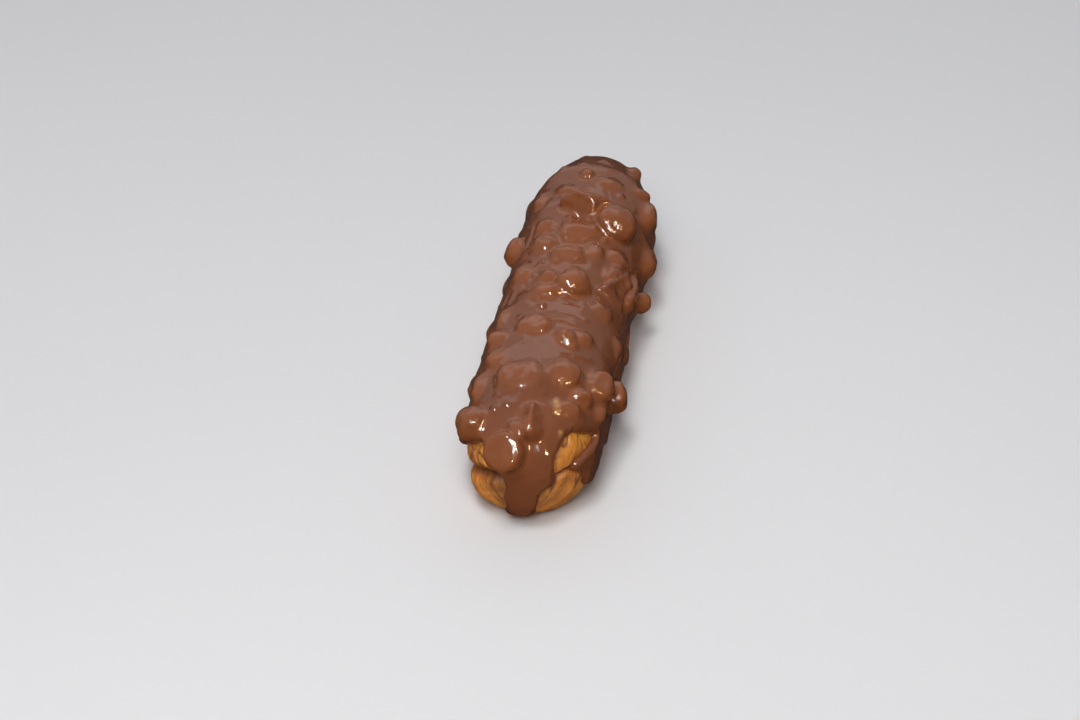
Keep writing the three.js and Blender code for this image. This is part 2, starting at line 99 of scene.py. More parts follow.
# ------------------------------------------------------------------- noise
def noise(p, scale, seed):
    """Smooth value noise, -1 to 1, on a seeded lattice; scale is the size of a
    cell in millimetres, one number or one per axis."""
    q = np.asarray(p, float) / np.asarray(scale, float)
    i = np.floor(q).astype(np.int64)
    f = q - i
    f = f * f * f * (f * (f * 6 - 15) + 10)
    out = 0
    for dx in (0, 1):
        for dy in (0, 1):
            for dz in (0, 1):
                h = ((i[..., 0] + dx) * 73856093) ^ ((i[..., 1] + dy) * 19349663) ^ ((i[..., 2] + dz) * 83492791) ^ (seed * 2654435761)
                h = (h ^ (h >> 13)) * 1274126177 & 0xFFFFFFFF
                h = (h ^ (h >> 16)) & 0xFFFF
                w = ((f[..., 0] if dx else 1 - f[..., 0]) * (f[..., 1] if dy else 1 - f[..., 1])
                     * (f[..., 2] if dz else 1 - f[..., 2]))
                out = out + w * (h / 32767.5 - 1)
    return out


def uneven(x, y, z):
    return (0.45 * np.sin(0.137 * x + 0.31 * y + 1.1) * np.cos(0.23 * z - 0.09 * x + 0.4)
            + 0.35 * np.sin(0.291 * x - 0.18 * z + 2.7) + 0.3 * np.cos(0.33 * y + 0.11 * x + 0.27 * z + 0.9))


def smin(a, b, k):
    return np.minimum(a, b) - np.maximum(k - np.abs(a - b), 0)**2 * 0.25 / k


def smax(a, b, k):
    return -smin(-a, -b, k)


# -------------------------------------------------------------------- nuts
# name, a point near the skin, half length, half width, top, middle, turn in
# degrees, power of the outline, power of the crown, cut planes: the same list
# as the solids
NUTS = [
    ("hazelnut_half_01", (-71.4, 4.4, 22.2), 4.45, 4.45, 5, 2.6, 0, 2, 5, []),
    ("hazelnut_half_02", (-62.6, 13.4, 22.4), 3.8, 3.7, 5.3, 2.5, 10, 2.1, 2.1, []),
    ("hazelnut_quarter_03", (-65.1, -0.9, 26.9), 4, 2.5, 4.9, 1.2, 4, 2.2, 2.4, [(0.12, 0.78, 0.62, 1.7), (0.1, -0.8, 0.6, 1.5)]),
    ("hazelnut_slice_04", (-67.8, 2.2, 25.4), 2.3, 0.9, 3.4, 1.2, 28, 2.4, 2.4, []),
    ("hazelnut_chip_05", (-58.7, -9.0, 26.1), 1.9, 2, 2.5, 0.9, 15, 2.1, 2.1, []),
    ("hazelnut_chip_06", (-52.6, -11.0, 25.6), 1.7, 1.7, 3.6, 1.5, 30, 2.2, 2.2, [(0.5, 0.45, 0.74, 1.3), (-0.75, 0.1, 0.65, 1.2)]),
    ("hazelnut_half_07", (-44.0, -14.2, 22.2), 3.9, 3.3, 4.7, 1.9, 0, 2.4, 2.8, [(-0.2, 0.5, 0.84, 2.4)]),
    ("hazelnut_half_08", (-37.6, -17.2, 15.6), 3.3, 3, 5, 2.4, 20, 2.8, 2.8, [(0.3, -0.5, 0.81, 2.4)]),
    ("hazelnut_chip_09", (-50.6, -15.1, 19.9), 2.4, 1.2, 3, 1, -12, 2.2, 2.2, []),
    ("hazelnut_quarter_10", (-48.8, 14.2, 23.4), 3.7, 1.7, 3.2, 1.2, -4, 2.2, 2.2, [(0.2, 0.4, 0.89, 1.9)]),
    ("hazelnut_half_11", (-31.0, 12.9, 25.4), 1.9, 2.3, 3.4, 1.4, 0, 2.1, 2.1, []),
    ("hazelnut_chip_12", (-40.2, 12.0, 26.1), 2.5, 1.9, 2.8, 1, 14, 2.3, 2.3, [(0.1, -0.55, 0.83, 1.6)]),
    ("hazelnut_chip_13", (-20.8, 13.0, 25.1), 3, 1.3, 2.4, 0.9, -10, 2.2, 2.2, []),
    ("hazelnut_half_14", (-50.2, 4.2, 28.9), 3.9, 4.9, 3.9, 1.1, 5, 2.5, 2.8, [(-0.3, 0.1, 0.95, 2.7)]),
    ("hazelnut_half_15", (-47.4, -6.4, 28.4), 3.9, 3.6, 3.8, 1.1, -20, 2.4, 2.6, []),
    ("hazelnut_half_16", (-32.8, -4.8, 28.8), 1.7, 1.8, 3.5, 1.7, 0, 2.2, 2.2, []),
    ("hazelnut_chip_17", (-30.8, -8.6, 27.4), 1.5, 1.6, 2.6, 1, 20, 2.5, 2.5, []),
    ("hazelnut_quarter_18", (-28.4, 3.8, 29.2), 2.4, 3.4, 3, 1, -6, 2.8, 3, [(-0.45, 0.1, 0.89, 1.9), (0.4, 0.0, 0.92, 1.9)]),
    ("hazelnut_whole_19", (-9.4, -3.3, 28.8), 4.2, 4.2, 5.5, 1.9, 0, 2, 2, []),
    ("hazelnut_half_20", (-13.4, 3.0, 29.1), 2.2, 2.6, 3.5, 1.2, 24, 2.2, 2.2, []),
    ("hazelnut_chip_21", (-6.2, 3.9, 28.8), 1.4, 1.5, 3, 1.4, 35, 2.6, 2.6, [(-0.6, 0.2, 0.77, 1.2), (0.5, 0.5, 0.7, 1.1)]),
    ("hazelnut_half_22", (2.0, -13.4, 24.2), 4.6, 3.3, 2.9, 1, -24, 2.6, 3, [(-0.1, -0.1, 0.98, 1.6)]),
    ("hazelnut_slice_23", (3.2, -16.0, 18.4), 6.4, 1.9, 3.5, 1.1, -10, 3, 3, [(0.05, -0.35, 0.94, 2.0)]),
    ("hazelnut_chip_24", (9.2, -17.0, 12.4), 2, 2, 5.2, 2.8, 0, 2.1, 2.1, []),
    ("hazelnut_half_25", (24.2, -18.0, 15.2), 5, 3, 3.8, 1.3, -6, 2.2, 2.2, []),
    ("hazelnut_whole_26", (22.2, -10.2, 27.4), 5, 4.9, 6, 2.6, 0, 2.1, 2.5, [(-0.62, 0.0, 0.78, 4.2)]),
    ("hazelnut_quarter_27", (26.8, -0.9, 29.6), 3.2, 4.3, 6.3, 2.2, -12, 2.8, 2.8, [(-0.88, 0.15, 0.45, 1.2), (0.62, 0.1, 0.78, 2.8), (-0.1, 0.72, 0.68, 3.6)]),
    ("hazelnut_half_28", (38.0, -16.4, 20.8), 4.1, 2.3, 4.1, 1.5, 8, 2.2, 2.2, []),
    ("hazelnut_chip_29", (43.6, -14.4, 23.2), 1.4, 1.4, 3.2, 1.5, 0, 2.2, 2.2, []),
    ("hazelnut_chip_30", (56.0, -10.4, 21.6), 1.2, 1.1, 3.1, 1.5, 0, 2.3, 2.3, []),
    ("hazelnut_chip_31", (43.6, 0.0, 29.1), 1.3, 1.3, 3.2, 1.5, 15, 2.2, 2.2, []),
    ("hazelnut_half_32", (40.4, -6.6, 28.4), 1.9, 2.8, 2, 0.9, 0, 2.2, 2.2, []),
    ("hazelnut_chip_33", (35.4, 4.4, 29.0), 1.3, 1.9, 2.4, 0.9, -20, 2.3, 2.3, []),
    ("hazelnut_chip_34", (19.0, 7.6, 27.9), 1.7, 1.6, 2.6, 1, 0, 2.3, 2.3, []),
    ("hazelnut_half_35", (34.6, 11.6, 25.4), 2.9, 1.9, 2.6, 0.9, 6, 2.2, 2.2, []),
    ("hazelnut_quarter_36", (15.6, -2.0, 29.2), 2.6, 4.5, 3, 0.9, 10, 2.6, 2.8, [(-0.5, 0.0, 0.87, 1.9)]),
    ("hazelnut_half_37", (17.6, 16.2, 20.2), 3.4, 3.3, 4.6, 2.1, -10, 2.1, 2.1, []),
    ("hazelnut_half_38", (10.0, 6.9, 28.1), 3, 2.8, 3.4, 1.1, 0, 2.2, 2.2, []),
    ("hazelnut_quarter_39", (4.4, -0.3, 29.1), 2.4, 3.4, 3.4, 1.1, 12, 2.5, 2.5, [(-0.6, 0.1, 0.79, 1.9)]),
    ("hazelnut_half_40", (7.4, -6.8, 28.2), 2.1, 1.8, 2.5, 1, 0, 2.1, 2.1, []),
    ("hazelnut_half_41", (-1.8, 11.0, 26.2), 3.1, 2.2, 2.6, 0.9, 12, 2.2, 2.2, []),
    ("hazelnut_chip_42", (9.6, -12.6, 24.8), 1.6, 1.7, 2.7, 1.2, 30, 2.8, 2.8, [(0.3, -0.5, 0.81, 1.3)]),
    ("hazelnut_chip_43", (-15.4, -11.4, 25.4), 1.3, 1.5, 2, 0.8, 0, 2.3, 2.3, []),
    ("hazelnut_chip_44", (-22.0, -15.6, 19.0), 1.6, 1.3, 1.7, 0.7, 24, 2.3, 2.3, []),
    ("hazelnut_half_45", (-11.0, 17.4, 12.2), 2.8, 2.3, 2.8, 1, 12, 2.2, 2.2, []),
    ("hazelnut_chip_46", (9.0, 16.8, 13.5), 2.1, 1.8, 2.5, 1, -15, 2.4, 2.4, [(0.5, 0.2, 0.84, 1.5)]),
    ("hazelnut_quarter_47", (-36.0, 17.2, 12.6), 3, 2.2, 2.8, 1, 8, 2.6, 2.6, [(-0.4, 0.3, 0.87, 1.7)]),
    ("hazelnut_half_48", (44.0, 14.0, 15.0), 2.7, 2.3, 2.5, 0.9, 0, 2.1, 2.1, []),
    ("hazelnut_chip_49", (59.5, 8.6, 12.5), 1.7, 1.6, 2, 0.8, 30, 2.4, 2.4, []),
    ("hazelnut_half_50", (67.5, 2.0, 13.0), 2.2, 2.4, 2.6, 0.9, 0, 2.1, 2.1, []),
    ("hazelnut_chip_51", (-12.0, -17.0, 10.0), 2, 1.7, 1.9, 0.7, -20, 2.4, 2.4, []),
    ("hazelnut_half_52", (47.5, -15.0, 12.0), 2.4, 2.2, 2.6, 0.9, 16, 2.2, 2.2, []),
]
# the pieces that stand out of the glaze with a tight corner round them
CRISP = {1, 3, 6, 8, 19, 22, 24, 26, 27, 31, 37}
# extra millimetres of glaze over some of them
THICK = {3: 0.55, 6: 0.45, 51: 0.45, 14: 0.25, 15: 0.25, 26: 0.25, 27: 0.2}
# broad flat-faced drapes of glaze, in the same form as a nut
DRAPES = [
    ("drape_27", (27.6, -2.6, 29.5), 1.7, 8.2, 6.5, 1.0, 0, 2.2, 2.2, []),
    ("drape_22", (2.0, -14.0, 24.0), 11.5, 7.5, 5.6, 1.0, 0, 3.0, 3.0,
     [(-0.10, -0.14, 0.98, 2.55), (0.46, 0.86, 0.22, 1.2), (0.0, -0.97, 0.25, 3.0), (-0.95, 0.1, 0.30, 9.5)]),
]
# small crumbs of nut that only raise the glaze
CRUMBS = [
    ((-61.4, 8.7, 26.7), 1.1, 0.8), ((-60.7, 5.6, 27.9), 1.0, 0.6), ((-19.8, 3.0, 29.1), 1.0, 1.0),
    ((-35.2, -7.5, 28.6), 1.2, 0.9), ((18.0, 1.8, 29.3), 1.6, 0.8), ((-2.5, -3.0, 29.2), 1.5, 0.7),
    ((4.1, 3.4, 29.0), 0.9, 0.5), ((5.5, 1.9, 29.2), 0.8, 0.5), ((-12.8, 2.5, 29.0), 0.8, 0.7),
    ((-13.8, -0.8, 29.2), 0.9, 0.8), ((-15.3, -2.4, 29.2), 0.9, 0.8), ((-48.9, -5.6, 28.6), 0.7, 0.3),
    ((-52.4, -4.8, 28.6), 0.8, 0.4), ((-73.3, -5.5, 20.4), 0.6, 0.3), ((-75.2, -4.9, 17.4), 0.6, 0.3),
    ((-14.8, -8.7, 27.6), 0.6, 0.5), ((9.4, -5.8, 29.0), 0.9, 0.5), ((-13.8, -13.0, 24.6), 1.3, 0.5),
    ((-57.2, 8.7, 27.7), 1.1, 0.4), ((8.6, 9.5, 27.0), 1.1, 0.5), ((1.1, 5.8, 28.6), 1.0, 0.6),
    ((-44.0, 9.5, 27.6), 1.2, 0.5), ((-24.0, 8.0, 27.8), 1.1, 0.4), ((49.0, 6.4, 26.2), 1.4, 0.7),
    ((54.0, -3.4, 26.6), 1.3, 0.6), ((60.5, 2.6, 23.8), 1.5, 0.7), ((-26.0, -15.0, 19.0), 1.2, 0.5),
    ((30.0, 16.0, 17.0), 1.3, 0.7), ((-2.0, 16.5, 15.0), 1.2, 0.7), ((25.0, 17.0, 11.0), 1.2, 0.6),
    ((20.7, -3.6, 29.2), 1.1, 1.2), ((21.2, 1.3, 29.4), 1.0, 1.0), ((20.2, -1.0, 29.4), 0.9, 0.7),
    ((12.6, 1.6, 29.3), 0.9, 0.6), ((11.2, -3.6, 29.2), 0.8, 0.6), ((6.8, 2.6, 29.1), 0.8, 0.6),
    ((13.4, -8.6, 28.2), 1.0, 0.7), ((2.6, -4.4, 29.1), 0.8, 0.5), ((18.6, -6.0, 29.0), 0.8, 0.5),
    ((16.2, 5.2, 28.7), 0.9, 0.6), ((0.4, 2.2, 29.1), 0.9, 0.5), ((-4.4, 7.4, 28.1), 1.0, 0.6),
    ((-16.6, 4.6, 28.9), 0.9, 0.5), ((31.5, 4.6, 28.8), 0.9, 0.5), ((36.5, -9.8, 27.0), 1.0, 0.6),
    ((50.5, 1.6, 27.6), 0.9, 0.4), ((-56.6, -2.8, 28.8), 0.8, 0.4), ((-54.6, 3.6, 28.8), 0.7, 0.35),
    ((-49.6, 9.4, 27.4), 0.9, 0.5), ((-35.6, 5.6, 28.9), 0.8, 0.3), ((-22.6, -8.4, 27.8), 0.9, 0.4),
    ((-24.0, 17.0, 14.0), 1.3, 0.7), ((38.0, -17.0, 10.0), 1.2, 0.6), ((0.0, -16.8, 9.0), 1.1, 0.6),
]
# broad swells and hollows of the poured glaze
SWELLS = [
    ((25.6, -5.6, 28.9), 3.0, 2.6), ((27.5, -8.5, 28.0), 2.6, 1.4),
    ((-55.5, 0.0, 28.6), 5.0, 1.0), ((-52.0, -1.0, 29.0), 3.4, 0.9), ((-54.0, 6.5, 28.0), 3.4, 0.6),
    ((-12.5, 6.0, 28.4), 3.0, 0.6), ((-40.5, 1.5, 29.2), 4.0, -0.25), ((35.0, -3.0, 29.0), 4.0, 0.5),
    ((3.8, -7.6, 28.2), 2.2, 0.7), ((23.0, -0.9, 29.6), 1.5, -0.75),
]
# folds of the glaze, from left to right or back to front, as points by the
# skin: height, half width, and how far a step reaches back from its edge
FOLDS = [
    (-0.42, 0.42, 0, [(-39.7, -4.7, 29), (-39.1, -6.8, 28.5), (-39.5, -8.2, 28), (-40.6, -9.7, 27)]),
    (0.38, 0.60, 0, [(-38.0, -7.2, 28.5), (-37.6, -9.4, 27.5), (-36.8, -11.9, 26)]),
    (-0.36, 0.45, 0, [(-18.0, -2.5, 29), (-17.5, -4.1, 28.8), (-17.9, -6.1, 28.4)]),
    (-0.34, 0.55, 0, [(-21.9, -3.4, 29), (-22.1, -5.1, 28.7)]),
    (-0.50, 0.50, 0, [(1.6, 7.3, 28), (-1.6, 8.7, 27.5), (-6.2, 9.1, 27.4), (-9.6, 9.2, 27.4)]),
    (0.34, 0.85, 0, [(-9.3, 11.8, 26), (-11.8, 12.8, 25.4), (-15.5, 13.0, 25.3), (-20.3, 12.4, 25.7), (-24.9, 12.6, 25.6)]),
    (-0.28, 0.80, 0, [(-8.0, 13.6, 24.6), (-12.4, 14.4, 24), (-17.5, 14.2, 24.2), (-24.0, 14.3, 24), (-29.0, 14.6, 23.6)]),
    (0.26, 0.90, 0, [(-12.0, 15.8, 21), (-19.0, 15.9, 21), (-27.0, 16.0, 21), (-34.0, 16.0, 20.5)]),
    (-0.48, 0.45, 0, [(-43.4, 0.1, 29.2), (-46.7, -0.9, 29.2), (-50.4, -1.4, 29.0)]),
    (0.42, 0.40, 3.5, [(-25.5, 8.5, 28), (-27.0, 3.0, 29), (-26.0, -2.0, 29), (-27.5, -7.5, 28)]),
    (0.75, 0.55, 8.0, [(-45.0, -9.5, 27.4), (-45.2, -5.0, 28.8), (-47.4, -1.2, 29.1), (-46.6, 3.0, 29.0), (-47.0, 8.5, 27.8)]),
    (0.35, 0.40, 3.0, [(28.5, 9.0, 27), (30.0, 4.5, 28.8), (31.5, 1.0, 29)]),
    (0.40, 0.40, 3.5, [(-62.0, -4.0, 27), (-61.0, -8.0, 25), (-60.5, -12.0, 22)]),
    (-0.40, 0.50, 0, [(12.0, 11.5, 26), (17.0, 11.0, 26.4), (23.0, 11.4, 26)]),
    (0.40, 0.45, 3.0, [(46.0, 9.0, 25), (48.0, 3.0, 27), (47.0, -3.0, 27.4), (48.5, -8.0, 26)]),
    (-0.42, 0.50, 0, [(-18.0, -16.5, 18), (-25.0, -16.4, 18.4), (-33.0, -16.6, 18)]),
    (0.45, 0.60, 0, [(-8.0, -17.0, 14), (-16.0, -17.2, 13), (-26.0, -17.4, 12.5)]),
]


def nut_frame(point, middle, turn):
    x, y, z = (np.array([v], float) for v in point)
    qx, qy, qz, _ = unit(x, y, z)
    n = (np.abs(qx)**CP + (np.abs(qy)**SP + np.abs(qz)**SP)**(CP / SP))**(1 / CP)
    qx, qy, qz = qx / n, qy / n, qz / n
    px, py, pz = place(qx, qy, qz, x)
    nn = normal(px, qx, qy, qz)[0]
    u = np.array([1.0, 0, 0]) - nn[0] * nn
    u /= np.linalg.norm(u)
    v = np.cross(nn, u)
    t = math.radians(turn)
    a = math.cos(t) * u + math.sin(t) * v
    b = -math.sin(t) * u + math.cos(t) * v
    at = np.array([px[0], py[0], pz[0]])
    return at + nn * middle, np.stack([a, b, nn])


SHAPES = NUTS + DRAPES
FRAMES = [nut_frame(n[1], n[5], n[6]) for n in SHAPES]


def nut_field(k, p, grow, under, soft):
    """Distance to a nut grown all round, with its cut edges rounded by soft."""
    _, _, a, b, top, middle, _, power, crown, cuts = SHAPES[k]
    at, axes = FRAMES[k]
    q = (p - at) @ axes.T
    r = np.sqrt((q**2).sum(-1)) + 1e-9
    h = top - middle
    e = crown
    flat = ((np.abs(q[..., 0]) / (a + grow))**power + (np.abs(q[..., 1]) / (b + grow))**power)**(1 / power)
    rise = np.where(q[..., 2] > 0, h + grow, max(h + grow, 1.7 * (under + grow)))
    f = r * (1 - 1 / np.maximum((flat**e + np.abs(q[..., 2] / rise)**e)**(1 / e), 1e-6))
    for nx, ny, nz, d in list(cuts) + [(0, 0, -1, under)]:
        m = math.sqrt(nx * nx + ny * ny + nz * nz)
        f = smax(f, (q[..., 0] * nx + q[..., 1] * ny + q[..., 2] * nz) / m - (d + grow), soft)
    return f


# ------------------------------------------------------- glaze outline
BARE = [
    [(12.0, 10.9), (10.8, 8.9), (10.0, 6.9), (8.4, 5.4), (6.0, 4.9), (4.5, 4.0), (3.9, 1.6), (4.0, -2.0), (4.1, -5.0), (4.4, -9.0), (5.5, -11.4), (7.0, -13.6), (7.0, -18.0), (16.0, -19.0), (30.0, -17.0), (34.0, -8.5), (26.0, -1.0), (19.7, 5.0), (15.6, 8.8)],
    [(-9.9, 6.5), (-10.2, 3.6), (-9.4, 1.1), (-7.8, 0.1), (-6.2, -1.6), (-5.8, -3.4), (-5.0, -6.0), (-4.2, -8.5), (-4.8, -12.0), (-4.0, -18.0), (-14.0, -18.0), (-27.0, -17.0), (-25.0, -12.0), (-20.5, -9.4), (-18.6, -6.5), (-17.7, -1.9), (-16.6, 1.6), (-14.6, 3.9), (-14.9, 5.9), (-17.0, 6.6), (-19.5, 7.0), (-22.8, 7.4), (-24.4, 8.2), (-23.0, 10.0), (-18.5, 13.2), (-15.4, 14.3), (-12.9, 13.7), (-11.3, 12.1), (-10.4, 10.5), (-9.9, 8.7)],
    [(-6.0, -10.6), (-2.5, -10.0), (0.5, -10.9), (3.5, -10.5), (8.0, -11.6), (8.0, -20.0), (-8.0, -20.0), (-8.0, -11.6)],
]


def outline(u, v, poly):
    """Distance to an outline, negative inside it."""
    best = np.full(u.shape, 1e9)
    inside = np.zeros(u.shape, bool)
    for i, (x1, y1) in enumerate(poly):
        x2, y2 = poly[(i + 1) % len(poly)]
        t = np.clip(((u - x1) * (x2 - x1) + (v - y1) * (y2 - y1)) / ((x2 - x1)**2 + (y2 - y1)**2), 0, 1)
        best = np.minimum(best, np.hypot(u - x1 - t * (x2 - x1), v - y1 - t * (y2 - y1)))
        if y1 != y2:
            cross = ((y1 > v) != (y2 > v)) & (u < (x2 - x1) * (v - y1) / (y2 - y1) + x1)
            inside ^= cross
    return np.where(inside, -best, best)


def hem(x, left):
    if left:
        return 7.6 + 1.7 * np.sin(0.151 * x + 0.7) + 1.0 * np.sin(0.37 * x + 2.0)
    return 8.0 + 1.6 * np.sin(0.128 * x + 3.3) + 1.1 * np.sin(0.33 * x + 1.0) + 2.4 * np.exp(-((x + 8) / 13)**2)


def coverage(p, qx, qy, qz):
    """Millimetres of skin from here to the glaze's edge, negative where bare."""
    x, y, z = p[..., 0], p[..., 1], p[..., 2]
    side = 0.5 + 0.5 * np.tanh((y - look(x, "y")) / 4)
    edge = hem(x, True) * side + hem(x, False) * (1 - side)
    edge = edge + 0.7 * noise(p, 3.4, 11) + 0.35 * noise(p, 1.5, 12)
    c = np.where(x < NX - 2, 99.0, z - edge + 8 * np.maximum(0, 1 - (x - NX + 2) / 6))
    s = np.where(x < NX, 17 * np.arctan2(np.hypot(qy, qz), -qx), 17 * math.pi / 2 + x - NX)
    turn = np.arctan2(qy, qz)
    m = (s < 60) & (x < -20)
    u, v = s[m] * np.sin(turn[m]), s[m] * np.cos(turn[m])
    u = u + 0.45 * noise(p[m], 2.6, 13) + 0.2 * noise(p[m], 1.1, 14)
    v = v + 0.45 * noise(p[m], 2.6, 15) + 0.2 * noise(p[m], 1.1, 16)
    cm = c[m]
    for o in BARE:
        cm = np.minimum(cm, outline(u, v, o))
    c[m] = cm
    return c


def fold_height(p, turn):
    """Height that the folds add to the glaze."""
    out = np.zeros(len(p))
    for height, width, reach, path in FOLDS:
        pts = []
        for x, y, z in path:
            qx, qy, qz, _ = unit(*(np.array([c], float) for c in (x, y, z)))
            pts.append((x, 16.5 * math.atan2(qy[0], qz[0])))
        pts = np.array(pts)
        pad = max(3 * width, 2.2 * reach) + 1
        w = 16.5 * turn
        m = ((p[:, 0] > pts[:, 0].min() - pad) & (p[:, 0] < pts[:, 0].max() + pad)
             & (w > pts[:, 1].min() - pad) & (w < pts[:, 1].max() + pad))
        q = np.stack([p[m, 0] + 0.5 * noise(p[m], 3.1, 45), w[m] + 0.5 * noise(p[m], 3.1, 46)], -1)
        best = np.full(len(q), 1e9)
        signed = np.zeros(len(q))
        place_on = np.zeros(len(q))
        length = np.linalg.norm(np.diff(pts, axis=0), axis=1)
        run = np.concatenate([[0], np.cumsum(length)])
        for i in range(len(pts) - 1):
            e = pts[i + 1] - pts[i]
            r = q - pts[i]
            t = np.clip((r @ e) / (e @ e), 0, 1)
            d = np.linalg.norm(r - t[:, None] * e, axis=1)
            side = e[0] * r[:, 1] - e[1] * r[:, 0]
            near = d < best
            best = np.where(near, d, best)
            signed = np.where(near, np.sign(side) * d, signed)
            place_on = np.where(near, run[i] + t * length[i], place_on)
        ends = np.sqrt(np.clip(np.minimum(place_on, run[-1] - place_on) / 1.6 + 0.15, 0, 1))
        if reach:
            rise = 0.5 + 0.5 * np.tanh(signed / width)
            out[m] += height * ends * rise * np.exp(-(np.maximum(signed, 0) / reach)**2) * np.exp(-(np.maximum(best - reach, 0) / 1.5)**2)
        else:
            out[m] += height * ends * np.exp(-(best / width)**2)
    return out


# ------------------------------------------------------------ choux skin
RIDGES = 11
# deep folds across the near end, in its own flat map: depth, half width, path
GROOVES = [
    (2.9, 1.9, [(27, -9), (19, -3.4), (13.0, 0.4), (8.4, 2.7), (3.5, 3.6)]),
    (1.7, 1.2, [(-29, -9), (-25.1, -4.0), (-20.5, 1.2), (-16.4, 3.5), (-13.7, 3.9), (-10.4, 2.9), (-6.5, 1.5)]),
    (0.7, 0.9, [(16.5, 6.5), (11.5, 6.2), (8.0, 6.4)]),
]
LOBES = [(12.5, -6.5, 5.0, 1.3), (-17.0, -5.0, 6.5, 0.5), (18.0, 6.5, 4.0, 0.5), (-15.0, 9.0, 4.5, 0.4)]


def ridge_turn(p, qy, qz):
    """Angle round the bun; on the near cap the ridges run together low down."""
    low = np.clip((NX - p[..., 0]) / NEAR_CAP, 0, 1)
    low = 0.82 * low * low * (3 - 2 * low)
    return np.arctan2(qy, qz + low), np.minimum(1, np.hypot(qy, qz + low) * 2.2)


def choux_height(p, qx, qy, qz):
    x, y, z = p[..., 0], p[..., 1], p[..., 2]
    turn, tip = ridge_turn(p, qy, qz)
    turn = turn + 0.06 * np.sin(0.06 * x + 0.5) + 0.07 * noise(p, 11, 21)
    crest = np.sqrt(np.cos(RIDGES / 2 * turn + 0.35)**2 + 0.05)
    depth = (0.85 + 0.5 * noise(p, 8, 22)) * tip
    out = 0.5 - depth * (1 - crest) - 0.3 * (1 - tip) + 0.2 * uneven(x, y, z) - 0.15
    m = x < -44
    q = p[m]
    s = np.where(x[m] < NX, 17 * np.arctan2(np.hypot(qy[m], qz[m]), -qx[m]), 17 * math.pi / 2 + x[m] - NX)
    flat = np.arctan2(qy[m], qz[m])
    u, v = s * np.sin(flat) + 0.5 * noise(q, 3.0, 23), s * np.cos(flat) + 0.5 * noise(q, 3.0, 24)
    add = np.zeros(len(q))
    for deep, width, path in GROOVES:
        best = np.full(len(q), 1e9)
        for (x1, y1), (x2, y2) in zip(path, path[1:]):
            t = np.clip(((u - x1) * (x2 - x1) + (v - y1) * (y2 - y1)) / ((x2 - x1)**2 + (y2 - y1)**2), 0, 1)
            best = np.minimum(best, np.hypot(u - x1 - t * (x2 - x1), v - y1 - t * (y2 - y1)))
        add = add - deep * (0.75 * np.exp(-(best / width)**2) + 0.25 * np.exp(-(best / 0.45)**2))
    for cu, cv, rad, rise in LOBES:
        add = add + rise * np.exp(-((u - cu)**2 + (v - cv)**2) / rad**2)
    out[m] += add * np.clip((-44 - x[m]) / 6, 0, 1)
    return out


def choux_detail(p, qx, qy, qz):
    """Fibres, blisters and cracks of the baked crust, in millimetres."""
    turn, _ = ridge_turn(p, qy, qz)
    s = np.where(p[..., 0] < NX, 17 * np.arctan2(np.hypot(qy, qz), -qx), 17 * math.pi / 2 + p[..., 0] - NX)
    fib = np.stack([s, turn * 15, np.hypot(qy, qz) * 3], -1)
    warp = fib + np.stack([0 * s, 0.8 * noise(p, 4.0, 31), 0 * s], -1)
    f = 0.16 * noise(warp, (5.0, 0.9, 3), 32) + 0.10 * noise(warp, (2.6, 0.5, 3), 33)
    crack = np.abs(noise(warp, (6.5, 2.1, 3), 34))
    f = f - 0.32 * np.exp(-(crack / 0.10)**2)
    f = f + 0.12 * noise(p, 1.9, 35) + 0.05 * noise(p, 0.8, 36)
    return f


# ------------------------------------------------------------ surface nets
def surface_nets(field, origin, h):
    """The zero surface of a grid as quads, its vertices moved onto the field."""
    nx, ny, nz = field.shape
    inside = field < 0
    cells = np.zeros((nx - 1, ny - 1, nz - 1), np.int8)
    for dx in (0, 1):
        for dy in (0, 1):
            for dz in (0, 1):
                cells += inside[dx:nx - 1 + dx, dy:ny - 1 + dy, dz:nz - 1 + dz]
    ci, cj, ck = np.nonzero((cells > 0) & (cells < 8))
    index = np.full(cells.shape, -1, np.int64)
    index[ci, cj, ck] = np.arange(len(ci))
    total = np.zeros((len(ci), 3))
    count = np.zeros(len(ci))
    corners = [(a, b, c) for a in (0, 1) for b in (0, 1) for c in (0, 1)]
    for i, a in enumerate(corners):
        for b in corners[i + 1:]:
            if sum(abs(s - t) for s, t in zip(a, b)) != 1:
                continue
            fa = field[ci + a[0], cj + a[1], ck + a[2]]
            fb = field[ci + b[0], cj + b[1], ck + b[2]]
            m = (fa < 0) != (fb < 0)
            t = np.where(m, fa / np.where(m, fa - fb, 1), 0)
            q = np.array(a, float) + t[:, None] * (np.array(b, float) - np.array(a, float))
            total += q * m[:, None]
            count += m
    v = np.stack([ci, cj, ck], -1) + total / count[:, None]
    quads = []
    for axis in range(3):
        lo = [slice(None)] * 3
        hi = [slice(None)] * 3
        lo[axis], hi[axis] = slice(0, -1), slice(1, None)
        a, b = inside[tuple(lo)], inside[tuple(hi)]
        for flip in (False, True):
            i, j, k = np.nonzero((~a & b) if flip else (a & ~b))
            u, w = [d for d in range(3) if d != axis]
            base = [i, j, k]
            ok = (base[u] > 0) & (base[w] > 0) & (base[u] < index.shape[u]) & (base[w] < index.shape[w])
            base = [c[ok] for c in base]

            def cell(du, dw):
                c = [base[0].copy(), base[1].copy(), base[2].copy()]
                c[u] = c[u] - du
                c[w] = c[w] - dw
                return index[c[0], c[1], c[2]]
            ring = [cell(0, 0), cell(1, 0), cell(1, 1), cell(0, 1)]
            turn = (axis == 1) ^ flip
            quads.append(np.stack(ring[::-1] if turn else ring, -1))
    quads = np.concatenate(quads)
    quads = quads[(quads >= 0).all(1)]
    return v * h + origin, quads


